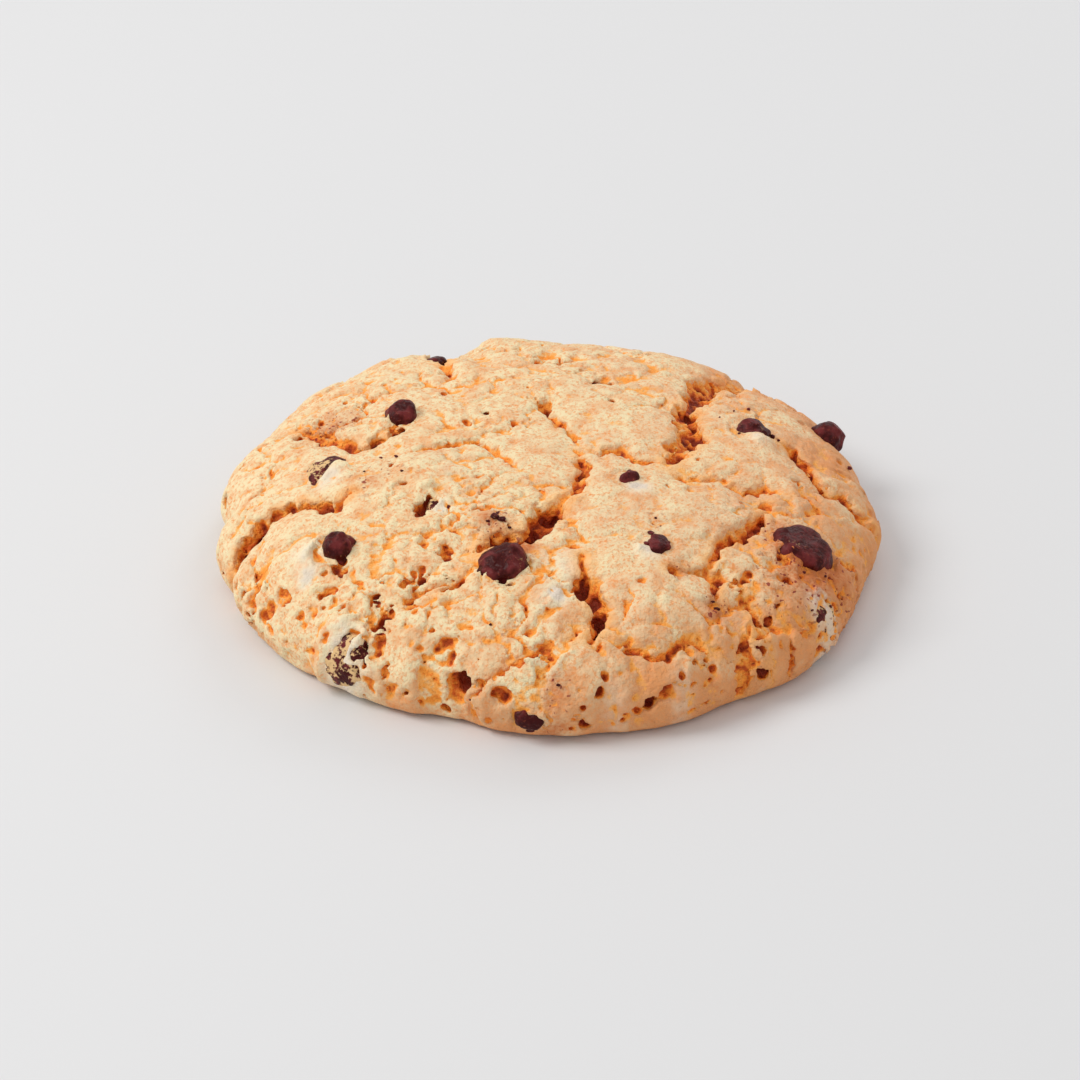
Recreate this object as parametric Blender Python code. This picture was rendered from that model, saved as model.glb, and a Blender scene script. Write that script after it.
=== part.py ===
# Chocolate chip cookie: one round of baked dough with chocolate chips set into it.
# The dough is an uneven dome with torn cracks on a flat base. Each chip is a drop
# that sits in its own socket and shows through the crust.
# Metres, +Z up. The base lies at z = 0 and the origin is in its middle.

import math

import bmesh
import bpy
from mathutils import Matrix, Vector, noise

MM = 0.001

# Driving dimensions, in millimetres
COOKIE_RADIUS = 54.3  # mean radius where the side bulges furthest out
COOKIE_HEIGHT = 21.0  # from the base to the crown, before the crust's swell
BULGE_HEIGHT = 4.8  # height of the widest ring above the base
BASE_SHARE = 0.93  # radius of the flat base over the widest radius
CROWN_POWER = 2.8  # a higher power keeps the top flat for longer
PROFILE_STEPS = 400  # fine steps along the side, from which the even points are picked
POINT_SPACING = 2.15  # distance between neighbouring points of the dough
RINGS_GROWING = 25  # rings that each have six points more than the one inside
SWELL_HEIGHT = 0.5  # how far the crust rises and falls between its cracks
SWELL_LENGTH = 13.0  # distance over which it does so
SOCKET_GAP = 0.35  # room left round each chip
CHIP_SIDES = 10
CHIP_LEVELS = 7
CHIP_HEIGHT_SHARE = 0.84  # a chip's height over its width
FOOT_FULLNESS = 0.6  # below 1 the foot is wide and flat
TIP_FULLNESS = 1.15  # above 1 the tip draws in
WELD_DISTANCE = 0.01

# The outline's slow waves: times round the edge, where the first crest points (degrees), height
EDGE_WAVES = ((2, 110.0, 0.9), (3, 68.0, 0.35), (4, 33.0, 0.7))

# Single bulges and dents in the edge: direction (degrees), half-width (degrees), height
EDGE_BUMPS = (
    (22, 7, -0.9),
    (72, 3, -0.8),
    (79, 5, 0.8),
    (98, 6, 1.0),
    (109, 4, -3.0),
    (117, 6, 0.6),
    (142, 8, 0.8),
    (168, 8, 1.6),
    (181, 4, -1.2),
    (190, 5, 0.7),
    (253, 5, -1.2),
    (268, 8, 0.7),
    (303, 9, -2.1),
    (330, 9, -0.6),
    (358, 9, 1.3),
)

# Torn cracks: points that the crack runs through, its width and its depth
CRACKS = (
    (((-52, -16), (-48, -13.5), (-44, -11), (-39, -11.5), (-34, -14)), 6.0, 3.4),
    (((-19, 48), (-18.5, 36), (-15, 24)), 6.0, 2.0),
    (((4, -2), (5.5, -8), (4.5, -13), (2, -17), (-2.5, -23), (-8, -27), (-12, -32)), 7.5, 4.6),
    (((4, -1), (11, -2), (16, -5), (20, -4), (23.5, 3), (22.5, 11), (25, 20), (27, 29)), 6.0, 3.4),
    (((20, -8), (28, -8), (33, -8), (38, -9.5)), 5.5, 2.2),
    (((37, 6.5), (41, 2), (43.5, -4), (48, -4), (54, -5)), 5.5, 2.4),
    (((34, -14), (31.5, -20), (26, -26), (24, -31)), 5.5, 2.4),
    (((5, -32), (6, -38), (7.5, -43), (7, -47)), 6.5, 4.2),
    (((30, -33.5), (31.5, -38), (31.5, -42), (29.5, -44), (31, -47)), 6.5, 3.6),
    (((8, -47), (13, -47.5), (17, -48), (21, -44.5), (25, -45)), 5.0, 2.2),
    (((18, -34), (23, -32.5), (26, -36)), 5.5, 2.6),
    (((-14, -47.5), (-14, -52.5)), 5.5, 2.6),
)

# Chips: centre (x, y, z), width, tilt of the tip away from +Z and the way it leans (degrees)
CHIPS = (
    ((-24.0, 11.3, 18.2), 7.0, 115, 200),
    ((-35.8, -3.8, 16.2), 8.0, 150, 90),
    ((-32.6, -25.0, 15.5), 6.8, 120, 245),
    ((-6.9, -32.2, 16.2), 9.6, 160, 30),
    ((-31.8, -41.8, 6.9), 9.6, 140, 40),
    ((-20.0, 39.6, 13.6), 6.2, 100, 150),
    ((12.6, -10.8, 18.8), 5.4, 70, 300),
    ((33.2, 8.8, 16.9), 7.0, 35, 330),
    ((46.8, 19.4, 11.0), 6.4, 80, 320),
    ((16.5, -27.4, 17.4), 5.6, 100, 20),
    ((39.3, -21.4, 12.9), 10.4, 165, 200),
    ((42.4, -31.6, 7.7), 6.6, 60, 250),
    ((-2.9, -52.3, 3.7), 6.0, 95, 350),
    ((-17.6, -16.2, 18.6), 5.4, 120, 60),
)


def wrapped(degrees):
    """The same direction, between -180 and 180."""
    return (degrees + 180.0) % 360.0 - 180.0


def edge_radius(angle):
    """Widest radius of the cookie in one direction."""
    degrees = math.degrees(angle)
    radius = COOKIE_RADIUS
    for times, crest, height in EDGE_WAVES:
        radius += height * math.cos(math.radians(times * (degrees - crest)))
    for toward, half_width, height in EDGE_BUMPS:
        radius += height * math.exp(-((wrapped(degrees - toward) / half_width) ** 2))
    return radius


def side_profile():
    """(share of the radius, height) from the crown to the base, evenly spaced."""
    curve = []
    for step in range(PROFILE_STEPS + 1):
        share = math.sin(0.5 * math.pi * step / PROFILE_STEPS)
        rise = math.sqrt(1.0 - share**CROWN_POWER)
        curve.append((share, BULGE_HEIGHT + (COOKIE_HEIGHT - BULGE_HEIGHT) * rise))
    for step in range(1, PROFILE_STEPS + 1):
        turn = 0.5 * math.pi * step / PROFILE_STEPS
        share = BASE_SHARE + (1.0 - BASE_SHARE) * math.cos(turn)
        curve.append((share, BULGE_HEIGHT * (1.0 - math.sin(turn))))
    lengths = [0.0]
    for (share_a, height_a), (share_b, height_b) in zip(curve, curve[1:]):
        run = (share_b - share_a) * COOKIE_RADIUS
        lengths.append(lengths[-1] + math.hypot(run, height_b - height_a))
    count = round(lengths[-1] / POINT_SPACING)
    points = []
    place = 0
    for ring in range(1, count):
        wanted = lengths[-1] * ring / count
        while lengths[place] < wanted:
            place += 1
        points.append(curve[place])
    return points + [curve[-1]]


def distance_to_line(point, line):
    """Shortest distance from a point to a run of straight stretches."""
    best = math.inf
    for start, end in zip(line, line[1:]):
        start = Vector(start)
        along = Vector(end) - start
        share = max(0.0, min(1.0, (point - start).dot(along) / along.length_squared))
        best = min(best, (point - start - share * along).length)
    return best


def crack_depth(x, y):
    """How far the cracks sink the crust at a place."""
    deepest = 0.0
    for line, width, depth in CRACKS:
        nearness = 1.0 - (distance_to_line(Vector((x, y)), line) / (0.5 * width)) ** 2
        deepest = max(deepest, depth * nearness)
    return deepest


def dough_point(share, height, angle):
    """A point of the dough's skin, with the crust's swell and its cracks."""
    reach = share * edge_radius(angle)
    x = reach * math.cos(angle)
    y = reach * math.sin(angle)
    above_bulge = max(0.0, (height - BULGE_HEIGHT) / (COOKIE_HEIGHT - BULGE_HEIGHT))
    swell = SWELL_HEIGHT * noise.noise(Vector((x, y, 0.0)) / SWELL_LENGTH)
    height += above_bulge * (swell - crack_depth(x, y))
    return Vector((x, y, height)) * MM


def add_growing_rings(mesh, rings):
    """Faces between rings where each has six points more than the last."""
    for count, (inner, outer) in enumerate(zip(rings, rings[1:])):
        for sector in range(6):
            for step in range(count + 1):
                near = inner[(sector * count + step) % len(inner)]
                first = outer[sector * (count + 1) + step]
                second = outer[(sector * (count + 1) + step + 1) % len(outer)]
                mesh.faces.new((near, first, second))
                if step < count:
                    beyond = inner[(sector * count + step + 1) % len(inner)]
                    mesh.faces.new((near, second, beyond))


def add_equal_rings(mesh, rings):
    """Faces between rings with the same number of points."""
    for inner, outer in zip(rings, rings[1:]):
        for step, near in enumerate(inner):
            after = (step + 1) % len(inner)
            mesh.faces.new((near, outer[step], outer[after], inner[after]))


def make_dough(material):
    mesh = bmesh.new()
    rings = [[mesh.verts.new(dough_point(0.0, COOKIE_HEIGHT, 0.0))]]
    for number, (share, height) in enumerate(side_profile(), start=1):
        count = 6 * min(number, RINGS_GROWING)
        turns = [2.0 * math.pi * step / count for step in range(count)]
        rings.append([mesh.verts.new(dough_point(share, height, turn)) for turn in turns])
    add_growing_rings(mesh, rings[: RINGS_GROWING + 1])
    add_equal_rings(mesh, rings[RINGS_GROWING:])
    mesh.faces.new(list(reversed(rings[-1])))
    return finished_object("dough", mesh, material)


def drop_profile(width):
    """(radius, height) up a chip: a round-edged flat foot, full sides and a soft tip."""
    points = []
    for level in range(CHIP_LEVELS + 1):
        turn = math.pi * (level / CHIP_LEVELS - 0.5)
        fullness = FOOT_FULLNESS if turn < 0.0 else TIP_FULLNESS
        radius = 0.5 * width * max(0.0, math.cos(turn)) ** fullness
        if level in (0, CHIP_LEVELS):
            radius = 0.0
        points.append((radius, 0.5 * CHIP_HEIGHT_SHARE * width * math.sin(turn)))
    return points


def drop_mesh(width):
    """A chip turned about its own axis, closed at the foot and at the tip."""
    mesh = bmesh.new()
    spots = [mesh.verts.new((radius * MM, 0.0, height * MM)) for radius, height in drop_profile(width)]
    edges = [mesh.edges.new(pair) for pair in zip(spots, spots[1:])]
    bmesh.ops.spin(
        mesh,
        geom=spots + edges,
        cent=(0.0, 0.0, 0.0),
        axis=(0.0, 0.0, 1.0),
        angle=2.0 * math.pi,
        steps=CHIP_SIDES,
        use_merge=True,
    )
    bmesh.ops.remove_doubles(mesh, verts=mesh.verts, dist=WELD_DISTANCE * MM)
    bmesh.ops.recalc_face_normals(mesh, faces=mesh.faces)
    return mesh


def finished_object(name, mesh, material):
    """An object from a bmesh, shaded smooth, in the scene."""
    data = bpy.data.meshes.new(name)
    mesh.to_mesh(data)
    mesh.free()
    data.shade_smooth()
    data.materials.append(material)
    item = bpy.data.objects.new(name, data)
    bpy.context.scene.collection.objects.link(item)
    return item


def cut_socket(dough, cutter):
    cutter.hide_render = True
    cutter.display_type = "WIRE"
    cut = dough.modifiers.new(cutter.name, "BOOLEAN")
    cut.operation = "DIFFERENCE"
    cut.solver = "EXACT"
    cut.object = cutter


def add_chips(dough, cookie, material):
    """Each chip, and the socket in the dough that it sits in."""
    for number, (centre, width, tilt, toward) in enumerate(CHIPS, start=1):
        turn = Matrix.Rotation(math.radians(toward), 4, "Z") @ Matrix.Rotation(math.radians(tilt), 4, "Y")
        place = Matrix.Translation(Vector(centre) * MM) @ turn
        chip = finished_object(f"chip_{number:02d}", drop_mesh(width), material)
        chip.parent = cookie
        chip.matrix_world = place
        socket = finished_object(f"socket_{number:02d}", drop_mesh(width + 2.0 * SOCKET_GAP), material)
        socket.parent = cookie
        socket.matrix_world = place
        cut_socket(dough, socket)


def principled(name, colour, roughness, coat):
    material = bpy.data.materials.new(name)
    material.use_nodes = True
    shader = material.node_tree.nodes["Principled BSDF"]
    shader.inputs["Base Color"].default_value = (*colour, 1.0)
    shader.inputs["Roughness"].default_value = roughness
    shader.inputs["Metallic"].default_value = 0.0
    shader.inputs["Coat Weight"].default_value = coat
    material.diffuse_color = (*colour, 1.0)
    return material


def clear_scene():
    for item in list(bpy.data.objects):
        bpy.data.objects.remove(item, do_unlink=True)


def main():
    clear_scene()
    crumb = principled("baked_dough", (0.75, 0.44, 0.21), 0.8, 0.0)
    chocolate = principled("chocolate", (0.045, 0.012, 0.009), 0.3, 0.2)
    cookie = bpy.data.objects.new("cookie", None)
    bpy.context.scene.collection.objects.link(cookie)
    dough = make_dough(crumb)
    dough.parent = cookie
    add_chips(dough, cookie, chocolate)


main()
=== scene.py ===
import math
import time
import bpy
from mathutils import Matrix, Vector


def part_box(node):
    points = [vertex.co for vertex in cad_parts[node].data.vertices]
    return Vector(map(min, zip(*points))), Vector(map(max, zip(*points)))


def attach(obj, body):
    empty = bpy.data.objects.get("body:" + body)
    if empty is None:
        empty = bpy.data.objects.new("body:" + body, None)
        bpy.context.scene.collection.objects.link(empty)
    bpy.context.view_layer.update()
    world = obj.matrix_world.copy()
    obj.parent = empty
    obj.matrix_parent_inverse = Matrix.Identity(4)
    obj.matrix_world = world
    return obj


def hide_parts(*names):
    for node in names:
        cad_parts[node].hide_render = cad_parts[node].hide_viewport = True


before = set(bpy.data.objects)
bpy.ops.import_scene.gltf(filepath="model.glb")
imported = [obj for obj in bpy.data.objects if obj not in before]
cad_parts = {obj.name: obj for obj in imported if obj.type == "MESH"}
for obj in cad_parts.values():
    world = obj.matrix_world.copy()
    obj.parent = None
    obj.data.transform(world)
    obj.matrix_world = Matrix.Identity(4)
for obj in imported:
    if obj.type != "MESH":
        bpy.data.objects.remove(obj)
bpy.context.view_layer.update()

from concurrent.futures import ThreadPoolExecutor

import bmesh
import bpy
import numpy as np
import openvdb
from mathutils import Matrix, Vector

mm = 0.001
startTime = time.time()


def report(stage):
    print(f"{stage}: {time.time() - startTime:.1f} s")


# Noise is read off a small cube of random arrows that repeats in every direction
latticeSize = 32
latticeDice = np.random.default_rng(7)
latticeArrows = latticeDice.normal(size=(latticeSize**3, 3)).astype(np.float32)
latticeArrows /= np.linalg.norm(latticeArrows, axis=1, keepdims=True)
latticeSeeds = latticeDice.random((latticeSize**3, 3)).astype(np.float32)


def latticeIndex(corner):
    wrapped = corner & (latticeSize - 1)
    return (wrapped[:, 0] * latticeSize + wrapped[:, 1]) * latticeSize + wrapped[:, 2]


# smooth noise from about -1 to 1, with hills about one length apart (mm)
def noiseAt(points, length, shift=0.0):
    spots = points / np.float32(length) + np.float32(shift)
    corner = np.floor(spots)
    inside = (spots - corner).astype(np.float32)
    corner = corner.astype(np.int32)
    fade = inside**3 * (inside * (inside * 6 - 15) + 10)
    total = np.zeros(len(points), np.float32)
    for step in np.ndindex(2, 2, 2):
        arrows = latticeArrows[latticeIndex(corner + np.int32(step))]
        weight = np.prod(np.where(step, fade, 1 - fade), axis=1)
        total += weight * np.einsum("ij,ij->i", arrows, inside - np.float32(step))
    return total * 1.6


# several sizes of noise on top of each other, each half the last
def roughNoise(points, length, octaves, shift=0.0):
    total = np.zeros(len(points), np.float32)
    for octave in range(octaves):
        total += noiseAt(points, length / 2**octave, shift + 5.3 * octave) / 2**octave
    return total


# distance to the nearest grain and to the one after it, in grain sizes, and a number of the grain's own
def grainsAt(points, size, shift=0.0):
    spots = points / np.float32(size) + np.float32(shift)
    corner = np.floor(spots).astype(np.int32)
    nearest = np.full(len(points), 9.0, np.float32)
    second = nearest.copy()
    tone = nearest.copy()
    for step in np.ndindex(3, 3, 3):
        cell = corner + (np.int32(step) - 1)
        seeds = latticeSeeds[latticeIndex(cell)]
        away = np.linalg.norm(spots - cell - seeds, axis=1)
        second = np.minimum(second, np.maximum(nearest, away))
        tone = np.where(away < nearest, seeds[:, 0] + seeds[:, 1] - 1, tone)
        nearest = np.minimum(nearest, away)
    return nearest, second, tone


# shares out work on a long list of points between the processor's cores
def inParts(work, points):
    with ThreadPoolExecutor(4) as helpers:
        return np.concatenate(list(helpers.map(work, np.array_split(points, 24))), axis=-1)


def smoothStep(value, low, high):
    share = np.clip((value - low) / (high - low), 0.0, 1.0)
    return share * share * (3 - 2 * share)


# value of a map on an even grid at any places between its points
def readMap(values, low, spacing, first, second):
    a = np.clip((first - low[0]) / spacing, 0, values.shape[0] - 1.001)
    b = np.clip((second - low[1]) / spacing, 0, values.shape[1] - 1.001)
    ai = a.astype(np.int32)
    bi = b.astype(np.int32)
    af = (a - ai).astype(np.float32)
    bf = (b - bi).astype(np.float32)
    near = values[ai, bi] * (1 - bf) + values[ai, bi + 1] * bf
    far = values[ai + 1, bi] * (1 - bf) + values[ai + 1, bi + 1] * bf
    return near * (1 - af) + far * af


dough = {
    "bulgeHeight": 4.8,  # the side's widest ring, mm above the base
    "baseShare": 0.93,  # flat base's radius over the widest radius
    "crownPower": 2.8,  # how long the top stays flat before it falls to the side
    "swell": 0.35,  # slow rise and fall of the crust
    "swellLength": 13.0,
    "grid": 0.34,  # spacing of the volume that the dough is cut from
    "meshSlack": 0.003,  # lets flat stretches have larger faces
    "mostTriangles": 196000,
    "crackReach": 5.6,  # cracks are worked out this far below the crust
    "crackFloor": 6.0,  # and this far above the base
    "crumbReach": 1.6,  # crumb is worked out this far from the torn surface
    "wander": 0.9,  # how far cracks stray from their line
    "wanderLength": 5.5,
    "teeth": 0.75,  # how ragged their edges are
    "teethLength": 1.9,
    "lumpLength": 3.8,  # low lumps all over the crust
    "plateSize": 8.5,  # patches of crust that rose a little apart
    "plateStep": 0.3,
    "plateTear": 1.1,
    "crumbSize": 1.5,
    "crumbDepth": 0.75,
    "fineCrumbSize": 1.6,
    "spongeSize": 2.7,  # irregular holes of the open crumb
    "spongeDepth": 1.1,
    "ballsPerHole": 7,  # a hole is a handful of balls taken out together
    "looseSidePits": 260,
    "seed": 11,
}

doughLow, doughHigh = (np.array(corner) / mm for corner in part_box("dough"))
crownHeight = doughHigh[2] - 0.2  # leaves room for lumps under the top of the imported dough


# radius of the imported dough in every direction, read round its widest rings
def readEdge():
    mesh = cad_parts["dough"].data
    spots = np.empty(len(mesh.vertices) * 3, np.float32)
    mesh.vertices.foreach_get("co", spots)
    spots = spots.reshape(-1, 3) / mm
    reach = np.hypot(spots[:, 0], spots[:, 1])
    turn = np.degrees(np.arctan2(spots[:, 1], spots[:, 0])) % 360
    bins = np.round(turn / 3).astype(int) % 120
    edge = np.zeros(120)
    np.maximum.at(edge, bins, reach)
    return edge


edgeRadii = readEdge()
meanRadius = float(edgeRadii.mean())


# signed distance to the side view of the dough, as a map over radius and height
def makeProfileMap(spacing=0.1, low=(0.0, -3.0), size=(600, 300)):
    share = np.sin(np.linspace(0, 0.5 * np.pi, 300))
    rise = np.sqrt(1 - share ** dough["crownPower"])
    turn = np.linspace(0, 0.5 * np.pi, 60)[1:]
    bulge = dough["bulgeHeight"]
    radius = np.concatenate([share, dough["baseShare"] + (1 - dough["baseShare"]) * np.cos(turn)])
    height = np.concatenate([bulge + (crownHeight - bulge) * rise, bulge * (1 - np.sin(turn))])
    flat = np.linspace(dough["baseShare"], 0, 120)[1:]
    radius = np.concatenate([radius, flat]) * meanRadius
    height = np.concatenate([height, 0 * flat])
    across = low[0] + spacing * np.arange(size[0])
    up = low[1] + spacing * np.arange(size[1])
    best = np.full(size, 1e9)
    for r, z in zip(radius, height):
        best = np.minimum(best, (across[:, None] - r) ** 2 + (up[None, :] - z) ** 2)
    share = across[:, None] / meanRadius
    above = (up[None, :] - bulge) / np.where(up[None, :] > bulge, crownHeight - bulge, bulge)
    topInside = share ** dough["crownPower"] + above**2 < 1
    lean = np.maximum(share - dough["baseShare"], 0) / (1 - dough["baseShare"])
    footInside = (lean**2 + above**2 < 1) | ((share < dough["baseShare"]) & (above > -1))
    inside = np.where(up[None, :] > bulge, topInside, footInside)
    return np.where(inside, -1, 1) * np.sqrt(best), low, spacing


profileMap = makeProfileMap()


# distance to the smooth round of dough, below 0 inside it
def roundDistance(points):
    reach = np.hypot(points[:, 0], points[:, 1])
    turn = np.degrees(np.arctan2(points[:, 1], points[:, 0])) % 360
    wide = np.interp(turn, np.arange(121) * 3, np.append(edgeRadii, edgeRadii[0]))
    return readMap(*profileMap, reach * meanRadius / wide, points[:, 2]).astype(np.float32)


# Cracks torn by the rise: points run through (mm), width, depth, and how much
# higher the crust stands on the left of the line than on its right
cracks = [
    (
        [(-55, -18), (-50, -15.5), (-47, -13), (-43.5, -11), (-39, -11.5), (-34, -14.5), (-31, -12)],
        3.0, 3.6, 0.5,
    ),
    ([(-20.5, 58), (-19, 48), (-18, 40), (-17.8, 34)], 4.6, 4.6, 0.0),
    ([(-18.3, 35), (-17, 30), (-15, 23)], 2.0, 1.4, 0.3),
    ([(-42, 15), (-35, 8), (-31, 4), (-28, 5), (-25, 6.5)], 2.6, 2.6, 0.9),
    ([(-24, -2), (-18, -1), (-12, 1.5), (-9, -2), (-6, -5.5), (-4, -9)], 1.5, 1.1, 0.5),
    ([(-4, 18), (1, 9), (3.5, 4), (5, -1)], 1.6, 1.4, 0.0),
    ([(4, -1), (5.5, -7), (5, -12), (2.5, -16)], 2.8, 2.0, 0.5),
    ([(2.5, -15), (0, -20), (-3, -24), (-8, -26), (-11, -28.5)], 4.6, 4.4, 0.3),
    ([(-12, -31), (-13.5, -35), (-18, -38)], 2.2, 1.8, 0.3),
    ([(4, -1), (8, -1.5), (11.5, -1.5), (13.5, -4), (19, -5)], 1.6, 1.8, 0.5),
    (
        [(19, -5), (21, -1.5), (23.5, 3), (22.8, 8), (22.5, 13), (25, 20), (27, 28), (33, 32)],
        5.2, 2.6, 0.3,
    ),
    ([(26, 27), (31, 33), (37, 36)], 5.0, 2.2, 0.0),
    ([(20, -8), (25.5, -7), (28, -8), (30.5, -9.5), (34, -7.5), (38, -9.5)], 2.4, 2.0, 0.3),
    ([(37, 7), (40, 5), (41.5, 2), (43.5, -3.5), (47, -4), (50, -5), (55, -4.5)], 2.2, 2.2, 0.3),
    ([(34, -13), (34, -15), (32, -19.5), (29, -23.5), (26, -26), (24.5, -30)], 2.8, 2.6, 0.2),
    (
        [(18, -33.5), (20, -32.5), (23, -32), (25.5, -32.5), (25.5, -35), (26, -37.5)],
        2.6, 2.4, -0.6,
    ),
    ([(5, -31), (5.5, -35.5), (6, -38.5), (7.5, -41.5), (7.5, -44), (6.5, -46.5)], 3.8, 3.6, 0.2),
    ([(7, -44.5), (4.3, -45.2), (3, -47.5)], 2.2, 2.0, 0.0),
    (
        [(7.5, -46.3), (11, -46), (14.8, -48), (17.5, -47.3), (20, -45), (22.5, -43.5), (25.5, -45)],
        1.8, 1.8, 0.7,
    ),
    ([(29.5, -32.5), (30.5, -36), (31.5, -38.5), (32, -40)], 2.8, 3.4, 0.3),
    ([(31.5, -39.5), (30, -42), (29.2, -44), (30.7, -46.5), (31.5, -49)], 1.8, 2.6, 0.3),
    ([(33, -40), (34, -42.5), (32.8, -44.5)], 1.2, 2.0, 0.0),
    ([(31.5, -36.8), (33.5, -37.5), (36, -37)], 1.6, 1.6, 0.0),
    ([(14, -36), (12, -40), (11, -42.5), (10.8, -45)], 1.2, 0.9, 0.5),
    ([(-12, -35.5), (-16.5, -35), (-20, -36), (-24.5, -38)], 1.6, 1.6, 0.3),
    ([(2, -47.5), (-4.5, -49.5), (-10, -50.5), (-14.5, -51.5), (-14, -55)], 1.6, 1.4, 0.3),
    ([(-8, -38), (-7.6, -41), (-8.3, -43)], 1.6, 1.3, 0.0),
    ([(-38.5, -32.5), (-34, -32), (-31, -31)], 1.8, 1.2, 0.0),
    ([(21, -57), (25, -53), (28, -49), (30, -47)], 1.0, 0.9, 0.4),
]

# Single deep pits and hollows: x, y, radius
hollows = [
    (8.5, 23.7, 1.8), (-19.8, -17.0, 1.8), (-16.0, -28.4, 1.3), (-26.7, -35.4, 1.1),
    (-25.8, -39.8, 1.6), (-25.6, -42.8, 1.3), (-1.4, -48.8, 1.0), (-2.9, -45.7, 0.8),
    (24.7, -47.2, 0.9), (32.7, -44.4, 1.4), (-20.1, -32.1, 1.0), (-30.2, -41.3, 1.8),
    (-45.3, -29.3, 2.0), (-36.6, -34.6, 0.9), (-38.2, -33.9, 0.7), (-41.4, -29.4, 0.9),
    (-34.3, -32.4, 1.1), (-31.5, -36.4, 0.7), (-37.1, -38.0, 0.7), (-34.2, -40.2, 0.6),
    (30.0, -30.4, 1.0), (27.9, -33.4, 0.8), (36.4, -30.0, 0.9), (-31.2, 3.9, 1.3), (-27.8, 5.0, 1.2),
    (-25.2, -6.2, 0.7), (-23.1, -12.4, 0.7), (10.5, 14.7, 0.8), (34.1, -13.1, 1.0), (39.4, -5.0, 0.8),
    (22.3, -12.3, 0.5), (18.8, -12.2, 0.5), (-17.3, 19.4, 0.9), (-10.5, 10.3, 0.9), (-13.2, 7.7, 0.8),
    (-5.6, 7.4, 0.8), (4.0, -28.1, 0.8), (0.0, 12.6, 1.4), (-24.3, 6.8, 1.9), (-32.4, -28.6, 1.3),
    (-6.8, -36.9, 1.2), (-27.5, 5.2, 1.3), (-20.5, -19.0, 1.3), (36.5, -26.0, 1.3),
    (19.0, -33.3, 1.1), (23.5, -32.0, 1.4), (-38.0, 17.0, 1.0), (-41.0, 12.0, 1.0),
    (-36.0, 12.0, 0.9), (14.0, -36.5, 0.6), (11.5, -40.5, 0.7),
]

# Pits in the side: degrees round from the right, height, radius
sidePits = [
    (286, 5.7, 1.3), (284, 4.6, 0.9), (282, 3.8, 0.9), (255, 7.5, 1.8), (254, 5.1, 1.0),
    (262, 7.2, 1.2), (279, 10.4, 0.8), (292, 9.1, 0.6), (298, 8.5, 0.9), (289, 7.2, 1.2),
    (250, 11.7, 1.4), (252, 10.3, 0.9), (304, 9.4, 1.0), (305, 7.2, 0.9), (307, 5.1, 1.0),
    (258, 8.0, 0.9), (270, 12.9, 0.9), (278, 8.3, 0.8), (275, 6.4, 0.6), (236, 8.9, 1.0),
    (223, 9.3, 0.7), (217, 10.4, 1.0), (265, 4.5, 0.7), (246, 5.0, 0.8), (330, 9.0, 0.8),
    (338, 11.0, 0.7), (345, 8.0, 0.7), (20, 8.0, 0.8), (60, 9.0, 1.1), (85, 7.0, 1.0),
    (120, 8.0, 1.2), (150, 9.0, 1.0), (175, 7.0, 1.1), (197, 8.0, 1.2), (205, 6.0, 0.8),
    (110, 5.0, 0.8),
]

# Patches of open crumb: x, y, radius, how open
porousPatches = [
    (-20, -33, 11, 0.65), (-32, -36, 10, 0.5), (-43, -25, 7, 0.3), (-14, -20, 10, 0.6),
    (-12, -48, 9, 0.7), (-26, -45, 7, 0.6), (33, -35, 7, 0.7), (20, -50, 8, 0.4), (34, -12, 9, 0.5),
    (46, -12, 8, 0.3), (-8, 8, 10, 0.3), (-34, 13, 8, 0.6), (24, 16, 8, 0.3), (2, -38, 7, 0.7),
    (-1, -26, 6, 0.6), (-5, -16, 6, 0.4), (-25, 25, 14, 0.3), (5, 32, 14, 0.25), (-45, -5, 8, 0.3),
    (36, 26, 10, 0.25), (-45, 4, 6, 0.3), (6, -52, 8, 0.3), (27, -30, 6, 0.5), (-2, 30, 10, 0.2),
    (43, -29, 8, 0.5), (36, -37, 7, 0.4), (49, -19, 6, 0.35), (27, -47, 7, 0.5), (5, -54, 9, 0.4),
    (-32, -46, 6, 0.4), (-50, -22, 8, 0.35), (53, 4, 8, 0.3), (0, 54, 12, 0.3), (-40, 38, 12, 0.3),
    (40, 38, 12, 0.3),
]

# Broad rises and dips of the crust: x, y, radius, height
mounds = [
    (-20, -8, 11, 1.1), (-34, 14, 8, -1.0), (-31, 5, 4, -0.7), (25, -20, 9, 0.6), (18, -38, 8, 0.9),
    (32, -42, 2.6, 1.2), (-38, -22, 9, 0.6), (36, 12, 9, 0.4), (12, 8, 9, 0.5), (-4, 27, 10, 0.4),
    (30, -7, 5, -0.7), (-17, -17, 4, -0.8), (-14, -30, 6, -0.6), (-23, -36, 6, -0.3),
    (3, -48, 7, 0.4), (44, -14, 6, 0.4), (8, -12, 6, 0.5), (-6, -38, 6, 0.5), (28, 30, 6, -0.7),
    (-47, -16, 4, -0.4), (-26, 40, 5, 0.9), (-11, 46, 6, 0.6),
]


def readPatches(x, y, patches):
    total = np.zeros(x.shape)
    for px, py, radius, strength in patches:
        total += strength * np.exp(-(((x - px) ** 2 + (y - py) ** 2) / radius**2))
    return total


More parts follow.
